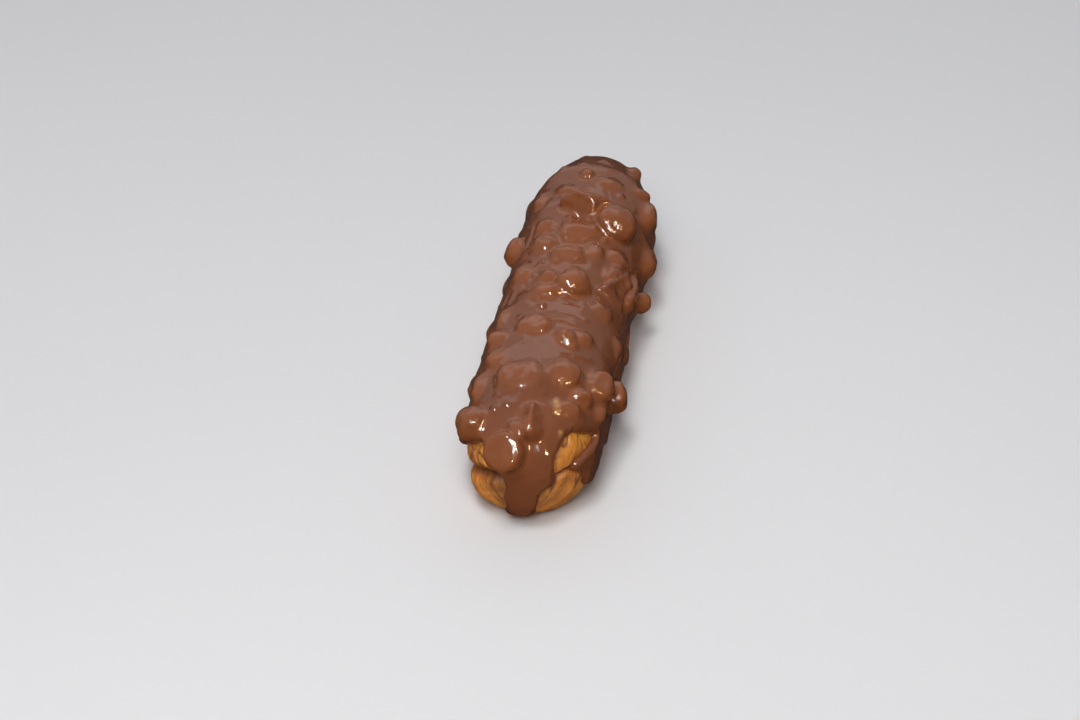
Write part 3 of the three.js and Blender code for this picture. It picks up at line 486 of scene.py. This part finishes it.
def sample(grid, p, origin, h):
    """Trilinear value of a grid at points."""
    q = (p - origin) / h
    i = np.clip(np.floor(q).astype(int), 0, np.array(grid.shape) - 2)
    f = q - i
    out = 0
    for dx in (0, 1):
        for dy in (0, 1):
            for dz in (0, 1):
                w = ((f[:, 0] if dx else 1 - f[:, 0]) * (f[:, 1] if dy else 1 - f[:, 1]) * (f[:, 2] if dz else 1 - f[:, 2]))
                out = out + w * grid[i[:, 0] + dx, i[:, 1] + dy, i[:, 2] + dz]
    return out


def slope(grid, p, origin, h):
    e = h * 0.5
    return np.stack([(sample(grid, p + d, origin, h) - sample(grid, p - d, origin, h)) / (2 * e)
                     for d in (np.array([e, 0, 0]), np.array([0, e, 0]), np.array([0, 0, e]))], -1)


def relax(v, quads, rounds):
    """Even out the grid's small steps without shrinking the shape."""
    a = quads.ravel()
    b = np.roll(quads, -1, axis=1).ravel()
    n = len(v)
    count = np.bincount(a, minlength=n) + np.bincount(b, minlength=n)
    for i in range(rounds):
        for pull in (0.55, -0.57):
            mean = np.stack([(np.bincount(a, v[b, c], n) + np.bincount(b, v[a, c], n)) / np.maximum(count, 1) for c in range(3)], -1)
            v = v + pull * (mean - v)
    return v


def largest_part(v, quads):
    """The largest connected part of a mesh, with loose crumbs dropped."""
    label = np.arange(len(v))
    while True:
        m = label[quads].min(1)
        new = label.copy()
        for c in range(4):
            np.minimum.at(new, quads[:, c], m)
        new = new[new]
        if (new == label).all():
            break
        label = new
    big = np.bincount(label[quads[:, 0]]).argmax()
    quads = quads[label[quads[:, 0]] == big]
    used = np.unique(quads)
    back = np.full(len(v), -1)
    back[used] = np.arange(len(used))
    return v[used], back[quads], used


# ------------------------------------------------------------ the glaze
H = 0.38
LOW = np.array([-81.5, -27.5, -0.6])
HIGH = np.array([75.5, 26.5, 39.5])


def build_glaze():
    axes = [np.arange(a, b, H) for a, b in zip(LOW, HIGH)]
    shape = tuple(len(a) for a in axes)
    X, Y, Z = np.meshgrid(*axes, indexing="ij")
    qx, qy, qz, F = unit(X, Y, Z)
    band = (F > -3.2) & (F < 9.5)
    P = np.stack([X[band], Y[band], Z[band]], -1)
    bq = (qx[band], qy[band], qz[band])
    Fb = F[band]
    del X, Y, Z, qx, qy, qz
    c = coverage(P, *bq)
    t = GLAZE_T + 0.34 * uneven(P[:, 0] * 1.3 + 20, P[:, 1], P[:, 2] * 1.2) + 0.24 * noise(P, 6.5, 41) + 0.10 * noise(P, 2.8, 42)
    wrinkle = noise(P, (8.0, 5.0, 5.0), 43)
    t = t - 0.10 * np.exp(-(wrinkle / 0.09)**2) * np.clip(2.6 * noise(P, 11.0, 44), 0, 1)
    t = t + fold_height(P, np.arctan2(bq[1], bq[2]))
    t = t + 0.22 * np.exp(-((c - 1.7) / 1.0)**2)
    for (at, rad, rise) in CRUMBS + SWELLS:
        centre, ax = nut_frame(at, 0, 0)
        d = P - centre
        flat = np.sqrt((d @ ax[0])**2 + (d @ ax[1])**2)
        t = t + rise * np.exp(-(flat / rad)**2) * (np.abs(d @ ax[2]) < 6)
    roll = np.clip(c / 2.2, 0, 1)
    T = np.where(c > 0, -0.45 + (t + 0.45) * np.sqrt(1 - (1 - roll)**2), -1.6 + np.maximum(-1, c * 0.2))
    base = Fb - T
    choux = choux_height(P, *bq)
    lumps = np.full(len(P), 1e3)
    crisp = np.full(len(P), 1e3)
    rooms = np.full(len(P), 1e3)
    drapes = np.full(len(P), 1e3)
    bent = P + np.stack([0.42 * noise(P, 3.6, 47 + i) + 0.14 * noise(P, 1.7, 57 + i) for i in range(3)], -1)
    for k, (at, axes) in enumerate(FRAMES):
        near = np.abs(P - at).max(1) < (15.0 if k >= len(NUTS) else 11.5)
        q = P[near]
        middle = SHAPES[k][5]
        if k >= len(NUTS):
            drapes[near] = np.minimum(drapes[near], nut_field(k, bent[near], 0.0, middle + 3, 0.5))
            continue
        f = nut_field(k, q * 0.75 + bent[near] * 0.25 if k == 0 else bent[near], NUT_COAT + THICK.get(k + 1, 0), middle + 3, 0.7)
        if k == 0:
            # the flat face of the near disc is a little dished inside its rim
            r = (q - at) @ axes.T
            f = f + 0.10 * np.exp(-(np.hypot(r[:, 0] + 0.5, r[:, 1] - 0.4) / 3.2)**4) * (r[:, 2] > 0)
        if k + 1 in CRISP:
            crisp[near] = np.minimum(crisp[near], f)
        else:
            lumps[near] = smin(lumps[near], f, 1.0)
        rooms[near] = np.minimum(rooms[near], nut_field(k, q, GAP - NUT_INSET, middle + 0.6, 0.05))
    outer = smin(smin(smin(base, lumps, 2.3), drapes, 1.0), crisp, 1.2)
    lumps = np.minimum(lumps, crisp)
    outer = smax(outer, 0.45 - P[:, 2], 1.0)
    inner = np.minimum(Fb - (choux - 0.15), rooms)
    solid = np.maximum(outer, -inner)
    field = np.full(shape, 3.0)
    field[band] = solid
    lump_grid = np.full(shape, 3.0)
    lump_grid[band] = np.clip(lumps, -3, 3)
    cover_grid = np.full(shape, 9.0)
    cover_grid[band] = np.clip(c, -9, 9)
    outer_grid = np.full(shape, 3.0)
    outer_grid[band] = outer
    v, quads = surface_nets(field, LOW, H)
    v, quads, _ = largest_part(v, quads)
    on_out = np.abs(sample(outer_grid, v, LOW, H)) < 0.35 * H + 0.05
    for _ in range(4):
        f = sample(field, v, LOW, H)
        g = slope(field, v, LOW, H)
        g2 = (g**2).sum(1)
        step = np.clip(-f / np.maximum(g2, 0.25), -0.25 * H, 0.25 * H)
        v = v + g * step[:, None] * (on_out & (g2 > 0.3))[:, None]
    v = relax(v, quads, 5)
    g = slope(outer_grid, v, LOW, H)
    n = g / np.maximum(np.linalg.norm(g, axis=1, keepdims=True), 1e-6)
    fine = 0.055 * noise(v, 2.6, 51) + 0.010 * noise(v, 1.2, 52)
    v = v + n * (fine * on_out)[:, None]
    v[:, 2] = np.maximum(v[:, 2], 0.25)
    return v, quads, np.clip(sample(lump_grid, v, LOW, H), -1, 3), sample(cover_grid, v, LOW, H), n


def build_choux():
    around = 460
    near_n, body_n, far_n = ((96, 240, 84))
    a = np.concatenate([np.linspace(0, math.pi / 2, near_n, endpoint=False),
                        np.full(body_n, math.pi / 2),
                        np.linspace(math.pi / 2, math.pi, far_n + 1)[1:]])[1:-1]
    mid = np.concatenate([np.full(near_n, NX), np.linspace(NX, FX, body_n), np.full(far_n, FX)])[1:-1]
    cap = np.concatenate([-np.ones(near_n), np.zeros(body_n), np.ones(far_n)])[1:-1]
    turn = np.linspace(0, 2 * math.pi, around, endpoint=False)
    A, T = np.meshgrid(a, turn, indexing="ij")
    C = np.repeat(cap[:, None], around, 1)
    qx = np.where(C == 0, 0.0, -np.cos(A))
    qy, qz = np.sin(A) * np.sin(T), np.sin(A) * np.cos(T)
    qx, qy, qz = (np.concatenate([np.array([s]), q.ravel(), np.array([e])]) for q, s, e in ((qx, -1, 1), (qy, 0, 0), (qz, 0, 0)))
    m = np.concatenate([[NX], np.repeat(mid[:, None], around, 1).ravel(), [FX]])
    n = (np.abs(qx)**CP + (np.abs(qy)**SP + np.abs(qz)**SP)**(CP / SP))**(1 / CP)
    qx, qy, qz = qx / n, qy / n, qz / n
    x, y, z = place(qx, qy, qz, m)
    p = np.stack([x, y, z], -1)
    nn = normal(x, qx, qy, qz)
    c = coverage(p, qx, qy, qz)
    bare = np.clip(0.5 - c / 1.0, 0, 1)
    big, small = choux_height(p, qx, qy, qz), choux_detail(p, qx, qy, qz)
    v = p + nn * (big + bare * small)[:, None]
    soft = 1.4
    zz = v[:, 2] + 0.25 * noise(v, 5.0, 61) * (v[:, 2] < 3)
    v[:, 2] = np.maximum(zz, 0) + np.maximum(soft - np.abs(zz), 0)**2 / (4 * soft)
    rings = len(a)
    i = np.arange(rings - 1)[:, None] * around + 1
    j = np.arange(around)[None, :]
    k = (j + 1) % around
    quads = np.stack([i + j, i + k, i + around + k, i + around + j], -1).reshape(-1, 4)
    last = (rings - 1) * around + 1
    tris = ([(0, int(1 + (q + 1) % around), 1 + q) for q in range(around)]
            + [(len(v) - 1, last + q, int(last + (q + 1) % around)) for q in range(around)])
    return v, quads, tris, big, small, c


def make(name, v, faces, attributes):
    mesh = bpy.data.meshes.new(name)
    mesh.from_pydata((v * MM).tolist(), [], faces)
    mesh.update()
    mesh.validate()
    for key, values in attributes.items():
        mesh.attributes.new(key, "FLOAT", "POINT").data.foreach_set("value", np.ascontiguousarray(values, np.float32))
    mesh.polygons.foreach_set("use_smooth", np.ones(len(mesh.polygons), bool))
    obj = bpy.data.objects.new(name, mesh)
    bpy.context.scene.collection.objects.link(obj)
    return obj


# --------------------------------------------------------------- materials
def srgb(r, g, b):
    return tuple((c / 255 / 12.92 if c / 255 <= 0.04045 else ((c / 255 + 0.055) / 1.055)**2.4) for c in (r, g, b)) + (1.0,)


class Nodes:
    def __init__(self, name):
        self.mat = bpy.data.materials.new(name)
        self.mat.use_nodes = True
        self.tree = self.mat.node_tree
        self.bsdf = self.tree.nodes["Principled BSDF"]
        self.place = self.add("ShaderNodeTexCoord").outputs["Object"]

    def add(self, kind, **inputs):
        node = self.tree.nodes.new(kind)
        for key, value in inputs.items():
            self.feed(node, key, value)
        return node

    def feed(self, node, key, value):
        socket = node.inputs[int(key[1:])] if key[0] == "_" and key[1:].isdigit() else node.inputs[key.replace("_", " ")]
        if isinstance(value, bpy.types.NodeSocket):
            self.tree.links.new(value, socket)
        else:
            socket.default_value = value

    def noise(self, scale, detail=3.0, rough=0.5, stretch=None, warp=None):
        vec = self.place
        if stretch:
            m = self.add("ShaderNodeMapping")
            self.tree.links.new(vec, m.inputs["Vector"])
            m.inputs["Scale"].default_value = stretch
            vec = m.outputs["Vector"]
        n = self.add("ShaderNodeTexNoise")
        self.tree.links.new(vec, n.inputs["Vector"])
        n.inputs["Scale"].default_value = scale
        n.inputs["Detail"].default_value = detail
        n.inputs["Roughness"].default_value = rough
        if warp:
            n.inputs["Distortion"].default_value = warp
        return n.outputs["Fac"]

    def ramp(self, fac, stops):
        r = self.add("ShaderNodeValToRGB")
        self.tree.links.new(fac, r.inputs["Fac"])
        el = r.color_ramp.elements
        while len(el) < len(stops):
            el.new(0.5)
        for e, (pos, col) in zip(el, stops):
            e.position = pos
            e.color = col if len(col) == 4 else (*col, 1)
        return r.outputs["Color"]

    def range(self, value, a, b, c, d):
        m = self.add("ShaderNodeMapRange")
        self.tree.links.new(value, m.inputs["Value"])
        for key, val in (("From Min", a), ("From Max", b), ("To Min", c), ("To Max", d)):
            m.inputs[key].default_value = val
        return m.outputs["Result"]

    def math(self, op, a, b):
        m = self.add("ShaderNodeMath")
        m.operation = op
        for i, v in enumerate((a, b)):
            if isinstance(v, bpy.types.NodeSocket):
                self.tree.links.new(v, m.inputs[i])
            else:
                m.inputs[i].default_value = v
        return m.outputs[0]

    def mix(self, fac, a, b, mode="MIX"):
        m = self.add("ShaderNodeMix")
        m.data_type = "RGBA"
        m.blend_type = mode
        for key, v in (("Factor", fac), ("A", a), ("B", b)):
            socket = [s for s in m.inputs if s.name == key and (s.type == "RGBA" or key == "Factor" and s.type == "VALUE")][0]
            if isinstance(v, bpy.types.NodeSocket):
                self.tree.links.new(v, socket)
            else:
                socket.default_value = v
        return [s for s in m.outputs if s.type == "RGBA"][0]

    def attribute(self, name):
        n = self.add("ShaderNodeAttribute")
        n.attribute_name = name
        return n.outputs["Fac"]

    def bump(self, height, strength, distance, under=None):
        b = self.add("ShaderNodeBump")
        self.tree.links.new(height, b.inputs["Height"])
        b.inputs["Strength"].default_value = strength
        b.inputs["Distance"].default_value = distance
        if under:
            self.tree.links.new(under, b.inputs["Normal"])
        return b.outputs["Normal"]


def chocolate():
    m = Nodes("milk_chocolate_glaze")
    b = m.bsdf
    lump = m.range(m.attribute("lump"), 0.0, 2.2, 1.0, 0.0)
    tone = m.noise(55, 4, 0.55)
    cloud = m.noise(18, 2, 0.5)
    base = m.ramp(cloud, [(0.3, srgb(119, 67, 40)), (0.7, srgb(132, 75, 45))])
    over = m.ramp(tone, [(0.3, srgb(129, 73, 41)), (0.72, srgb(143, 82, 47))])
    col = m.mix(lump, base, over)
    thin = m.attribute("thin")
    col = m.mix(thin, col, srgb(205, 150, 78))
    edge = m.range(m.attribute("cover"), 0.1, 1.1, 0.55, 0.0)
    col = m.mix(edge, col, srgb(124, 68, 36))
    m.feed(b, "Base Color", col)
    m.feed(b, "Roughness", m.range(m.noise(90, 3, 0.6), 0.3, 0.7, 0.10, 0.20))
    b.inputs["IOR"].default_value = 1.45
    b.inputs["Specular IOR Level"].default_value = 0.42
    b.inputs["Subsurface Weight"].default_value = 0.12
    b.inputs["Subsurface Radius"].default_value = (1.0, 0.45, 0.22)
    b.inputs["Subsurface Scale"].default_value = 0.0018
    b.inputs["Coat Weight"].default_value = 0.7
    b.inputs["Coat Roughness"].default_value = 0.025
    b.inputs["Coat IOR"].default_value = 1.5
    fine = m.noise(420, 3, 0.55)
    slow = m.noise(130, 2, 0.5)
    m.feed(b, "Normal", m.bump(fine, 0.05, 0.0006, m.bump(slow, 0.14, 0.0012)))
    return m.mat


def choux():
    m = Nodes("baked_choux")
    b = m.bsdf
    streak = m.noise(160, 5, 0.62, stretch=(0.28, 1.0, 1.0), warp=0.6)
    patch = m.noise(38, 3, 0.5)
    gold = m.ramp(streak, [(0.28, srgb(146, 68, 14)), (0.44, srgb(198, 112, 28)), (0.60, srgb(222, 148, 50)), (0.78, srgb(240, 188, 98))])
    warm = m.ramp(patch, [(0.35, srgb(170, 84, 18)), (0.65, srgb(226, 150, 50))])
    col = m.mix(0.42, gold, warm)
    # painted shade: the crust is coloured darker in its ridge grooves and deep folds, where shade falls
    groove_shade = m.range(m.attribute("height"), -1.3, 0.15, 1.0, 0.0)
    col = m.mix(m.math("MULTIPLY", groove_shade, 0.6), col, srgb(118, 54, 12))
    # painted shade: the crust is coloured darker along its cracks and low fibres, where shade falls
    crack = m.range(m.attribute("detail"), -0.30, -0.02, 0.75, 0.0)
    col = m.mix(crack, col, srgb(120, 56, 18))
    m.feed(b, "Base Color", col)
    m.feed(b, "Roughness", m.range(streak, 0.3, 0.7, 0.62, 0.44))
    b.inputs["Subsurface Weight"].default_value = 0.10
    b.inputs["Subsurface Radius"].default_value = (1.0, 0.5, 0.2)
    b.inputs["Subsurface Scale"].default_value = 0.0015
    fibre = m.noise(520, 4, 0.6, stretch=(0.3, 1.0, 1.0), warp=0.4)
    m.feed(b, "Normal", m.bump(fibre, 0.5, 0.0006, m.bump(streak, 0.45, 0.0010)))
    return m.mat


def hazelnut():
    m = Nodes("chopped_hazelnut")
    b = m.bsdf
    cream = m.ramp(m.noise(300, 4, 0.6), [(0.3, srgb(214, 178, 122)), (0.7, srgb(240, 216, 172))])
    skin = m.ramp(m.noise(120, 4, 0.6), [(0.35, srgb(120, 60, 28)), (0.7, srgb(158, 92, 48))])
    m.feed(b, "Base Color", m.mix(m.range(m.noise(85, 2, 0.5), 0.55, 0.60, 0.0, 1.0), cream, skin))
    m.feed(b, "Roughness", m.range(m.noise(200, 3, 0.5), 0.3, 0.7, 0.5, 0.7))
    m.feed(b, "Normal", m.bump(m.noise(700, 4, 0.6), 0.4, 0.0005))
    return m.mat


# ------------------------------------------------------------------ pieces
CHOCOLATE, CHOUX, HAZELNUT = chocolate(), choux(), hazelnut()

# where the glaze is thin enough for a nut to show: place, radius
SPECKS = [((-58.2, -6.4, 29.7), 1.0), ((-60.4, -7.0, 29.1), 1.3), ((-66.6, -8.7, 26.0), 0.8), ((-61.8, 17.6, 17.0), 0.7)]

v, quads, lump, cover, _ = build_glaze()
thin = np.zeros(len(v))
for at, rad in SPECKS:
    d = np.linalg.norm((v - np.array(at)) * np.array([0.7, 1.2, 0.8]), axis=1)
    thin = np.maximum(thin, np.clip(1.3 - d / rad, 0, 1) * (0.6 + 0.4 * noise(v, 0.8, 71)))
glaze = make("milk_chocolate_glaze", v, quads.tolist(), {"lump": lump, "cover": cover, "thin": np.clip(thin, 0, 0.8)})
glaze.data.materials.append(CHOCOLATE)
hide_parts("chocolate_glaze")
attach(glaze, "root")

v, quads, tris, big, small, c = build_choux()
bun = make("baked_choux_bun", v, quads.tolist() + tris, {"height": big, "detail": small, "cover": np.clip(c, -9, 9)})
bun.data.materials.append(CHOUX)
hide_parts("choux_bun")
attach(bun, "root")

for name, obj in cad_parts.items():
    if name.startswith("hazelnut"):
        obj.data.materials.clear()
        obj.data.materials.append(HAZELNUT)

# ------------------------------------------------------- floor, light, camera
floor_mesh = bpy.data.meshes.new("floor")
floor_mesh.from_pydata([(-6, -6, 0), (6, -6, 0), (6, 6, 0), (-6, 6, 0)], [], [(0, 1, 2, 3)])
floor = bpy.data.objects.new("floor", floor_mesh)
bpy.context.scene.collection.objects.link(floor)
fm = Nodes("pale_floor")
fm.feed(fm.bsdf, "Base Color", fm.ramp(fm.noise(3.0, 2, 0.5), [(0.3, srgb(219, 219, 222)), (0.7, srgb(223, 223, 226))]))
fm.bsdf.inputs["Roughness"].default_value = 0.6
floor.data.materials.append(fm.mat)
floor.visible_glossy = False

# the view: 88 mm lens, 39 degrees down, a hand's turn off the eclair's axis
PITCH, ROLL, TURN = 0.67948, -0.021948, math.radians(80.24)
AIM = Vector((-0.58381, -0.09282, 0.47422))


def turned(x, y, z):
    return Vector((math.cos(TURN) * x + math.sin(TURN) * y, -math.sin(TURN) * x + math.cos(TURN) * y, z))


right, up, ahead = turned(1, 0, 0), turned(0, math.sin(PITCH), math.cos(PITCH)), turned(0, math.cos(PITCH), -math.sin(PITCH))
cam_r = math.cos(ROLL) * right + math.sin(ROLL) * up
cam_u = -math.sin(ROLL) * right + math.cos(ROLL) * up
camera_data = bpy.data.cameras.new("camera")
camera_data.lens, camera_data.sensor_width, camera_data.clip_start = 88.0, 36.0, 0.02
camera = bpy.data.objects.new("camera", camera_data)
camera.matrix_world = Matrix([[cam_r[i], cam_u[i], -ahead[i], AIM[i]] for i in range(3)] + [[0, 0, 0, 1]])
bpy.context.scene.collection.objects.link(camera)
bpy.context.scene.camera = camera

world = bpy.data.worlds.new("studio")
world.use_nodes = True
wt = world.node_tree
direction = wt.nodes.new("ShaderNodeTexCoord").outputs["Generated"]


def toward(vector, low, high, dark, bright):
    """Light that grows from dark to bright as a ray turns toward vector."""
    dot = wt.nodes.new("ShaderNodeVectorMath")
    dot.operation = "DOT_PRODUCT"
    wt.links.new(direction, dot.inputs[0])
    dot.inputs[1].default_value = Vector(vector).normalized()
    m = wt.nodes.new("ShaderNodeMapRange")
    m.interpolation_type = "SMOOTHSTEP"
    wt.links.new(dot.outputs["Value"], m.inputs["Value"])
    for key, val in (("From Min", low), ("From Max", high), ("To Min", dark), ("To Max", bright)):
        m.inputs[key].default_value = val
    return m.outputs["Result"]


left, back = -right, turned(0, 1, 0)
room = wt.nodes.new("ShaderNodeMath")
room.operation = "MULTIPLY"
wt.links.new(toward((0, 0, 1), -0.15, 0.25, 0.10, 1.0), room.inputs[0])
wt.links.new(toward(left * 0.5 + back * 1.0 + Vector((0, 0, 0.6)), -0.5, 0.9, 0.10, 0.34), room.inputs[1])
wt.nodes["Background"].inputs["Color"].default_value = (0.93, 0.96, 1.0, 1)
wt.links.new(room.outputs[0], wt.nodes["Background"].inputs["Strength"])
bpy.context.scene.world = world


def lamp(name, where, at, size, power, colour=(1, 1, 1), size_y=None):
    data = bpy.data.lights.new(name, "AREA")
    data.energy, data.size, data.color = power, size, colour
    if size_y:
        data.shape, data.size_y = "RECTANGLE", size_y
    obj = bpy.data.objects.new(name, data)
    obj.location = where
    obj.rotation_euler = (Vector(at) - Vector(where)).to_track_quat("-Z", "Y").to_euler()
    bpy.context.scene.collection.objects.link(obj)
    return obj


key = lamp("key", left * 0.13 - back * 0.20 + Vector((0, 0, 1.08)), (-0.02, 0, 0.01), 0.30, 4.5, (1.0, 0.985, 0.96))
key.visible_glossy = False
fill = lamp("fill", AIM + cam_u * 0.22 + cam_r * -0.06, (-0.04, 0, 0.02), 0.40, 2.7, (1.0, 0.98, 0.95))
fill.visible_glossy = False
lamp("sheen", back * 1.15 + left * 0.15 + Vector((0, 0, 1.22)), (0.0, 0, 0.02), 1.7, 2.2, (0.93, 0.95, 1.0), 0.8)
# small lamps near the eye that only make highlights
for i, (r, u, size, power, colour) in enumerate([
        (-0.23, 0.10, 0.075, 2.1, (1, 0.98, 0.96)), (-0.07, 0.21, 0.070, 1.8, (1, 0.97, 0.94)), (0.03, 0.12, 0.060, 1.2, (1, 0.95, 0.92)),
        (-0.36, 0.42, 0.075, 2.2, (1, 0.98, 0.96)), (0.27, 0.05, 0.050, 1.0, (1, 0.62, 0.30)), (-0.20, -0.12, 0.040, 0.5, (1, 0.68, 0.36)),
        (0.16, 0.34, 0.050, 1.0, (1, 0.66, 0.34))]):
    spark = lamp("spark_%d" % (i + 1), AIM + cam_r * r + cam_u * u, (-0.02, 0, 0.02), size, power, colour)
    spark.data.shape = "DISK"
    spark.visible_diffuse = False

bpy.context.scene.view_settings.view_transform = "Standard"
